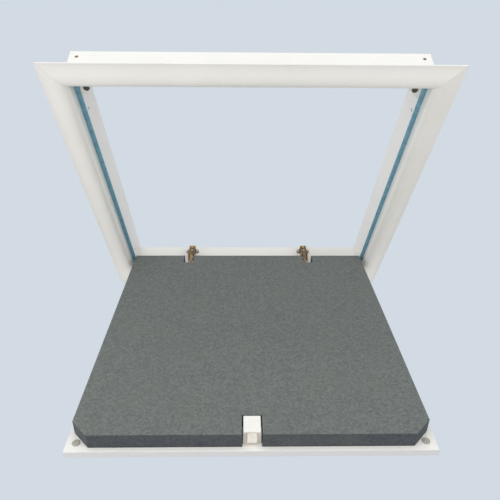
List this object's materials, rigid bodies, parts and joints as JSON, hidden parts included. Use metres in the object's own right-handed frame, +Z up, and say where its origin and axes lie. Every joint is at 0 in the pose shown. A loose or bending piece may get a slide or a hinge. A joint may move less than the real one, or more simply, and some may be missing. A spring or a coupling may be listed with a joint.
{
  "type": "ceiling hatch",
  "caption": "Square insulated ceiling hatch: a mitred frame with a moulded flange, and a drop-down door on concealed four-bar hinges with a sprung catch.",
  "frame": {"origin": "centre of the access opening, in the plane of the flange's upper face, which is the ceiling's lower face", "axes": "+Z up into the loft, +Y from the catch side towards the hinge side, +X to the right as seen from the catch side looking at the hinges"},
  "size_m": [0.616, 0.616, 0.5319],
  "materials": {
    "frame_white": "satin",
    "panel_white": "satin",
    "foam_grey": "matte",
    "seal_teal": "matte",
    "moulded_white": "satin",
    "magnet_black": "matte",
    "key_aluminium": "matte",
    "hinge_bronze": "satin",
    "screw_brass": "satin",
    "screw_brown": "satin",
    "zinc_steel": "satin",
    "catch_nylon": "satin"
  },
  "bodies": {
    "frame": {"frame_catch_side": "frame_white", "frame_hinge_side": "frame_white", "frame_left": "frame_white", "frame_right": "frame_white", "corner_keys": "key_aluminium", "corner_screws": "screw_brown", "seal_catch_side": "seal_teal", "seal_hinge_side": "seal_teal", "seal_left": "seal_teal", "seal_right": "seal_teal", "corner_bracket_left": "moulded_white", "corner_bracket_right": "moulded_white", "corner_magnet_left": "magnet_black", "corner_magnet_right": "magnet_black", "bracket_screws": "zinc_steel", "keeper": "zinc_steel", "keeper_screws": "zinc_steel", "hinge_plate_left": "hinge_bronze", "hinge_plate_right": "hinge_bronze", "hinge_plate_screws": "zinc_steel", "hinge_arm_left": "hinge_bronze", "hinge_arm_right": "hinge_bronze", "arm_screws": "screw_brass", "adjusting_screws": "zinc_steel", "arm_pins": "zinc_steel"},
    "short_link_left": {"short_link_left": "hinge_bronze"},
    "short_link_right": {"short_link_right": "hinge_bronze"},
    "long_link_left": {"long_link_left": "hinge_bronze"},
    "long_link_right": {"long_link_right": "hinge_bronze"},
    "door": {"hinge_tray_left": "hinge_bronze", "hinge_tray_right": "hinge_bronze", "tray_screws": "zinc_steel", "tray_pins": "zinc_steel", "door_panel": "panel_white", "insulation_block": "foam_grey", "strike_disc_left": "zinc_steel", "strike_disc_right": "zinc_steel", "catch_base": "catch_nylon", "catch_cover": "moulded_white", "catch_spring": "zinc_steel", "catch_screws": "zinc_steel"},
    "catch_bolt": {"catch_bolt": "catch_nylon"}
  },
  "joints": [
    {"name": "short_link_left_swing", "type": "hinge", "parent": "frame", "child": "short_link_left", "pos_m": [-0.134, 0.2402, 0.0207], "axis": [1, 0, 0], "range_deg": [-28.02, 62.02]},
    {"name": "door_swing", "type": "hinge", "parent": "short_link_left", "child": "door", "pos_m": [-0.134, 0.2402, 0.00281], "axis": [1, 0, 0], "range_deg": [-124, 56]},
    {"name": "short_link_right_swing", "type": "hinge", "parent": "frame", "child": "short_link_right", "pos_m": [0.134, 0.2402, 0.0207], "axis": [1, 0, 0], "range_deg": [-28.02, 62.02]},
    {"name": "long_link_left_swing", "type": "hinge", "parent": "frame", "child": "long_link_left", "pos_m": [-0.134, 0.2355, 0.0358], "axis": [1, 0, 0], "range_deg": [-20.18, 44.66]},
    {"name": "long_link_right_swing", "type": "hinge", "parent": "frame", "child": "long_link_right", "pos_m": [0.134, 0.2355, 0.0358], "axis": [1, 0, 0], "range_deg": [-20.18, 44.66]},
    {"name": "catch_bolt_slide", "type": "slide", "parent": "door", "child": "catch_bolt", "axis": [0, 0.4695, 0.8829], "range_m": [0, 0.004], "stiffness_N_per_m": 3000, "springref_m": -0.006, "deforming": ["catch_spring"]}
  ],
  "couplings": [
    {"joint": "short_link_left_swing", "follows": "door_swing", "ratio": -0.5},
    {"joint": "short_link_right_swing", "follows": "door_swing", "ratio": -0.5},
    {"joint": "long_link_left_swing", "follows": "door_swing", "ratio": -0.36},
    {"joint": "long_link_right_swing", "follows": "door_swing", "ratio": -0.36}
  ]
}
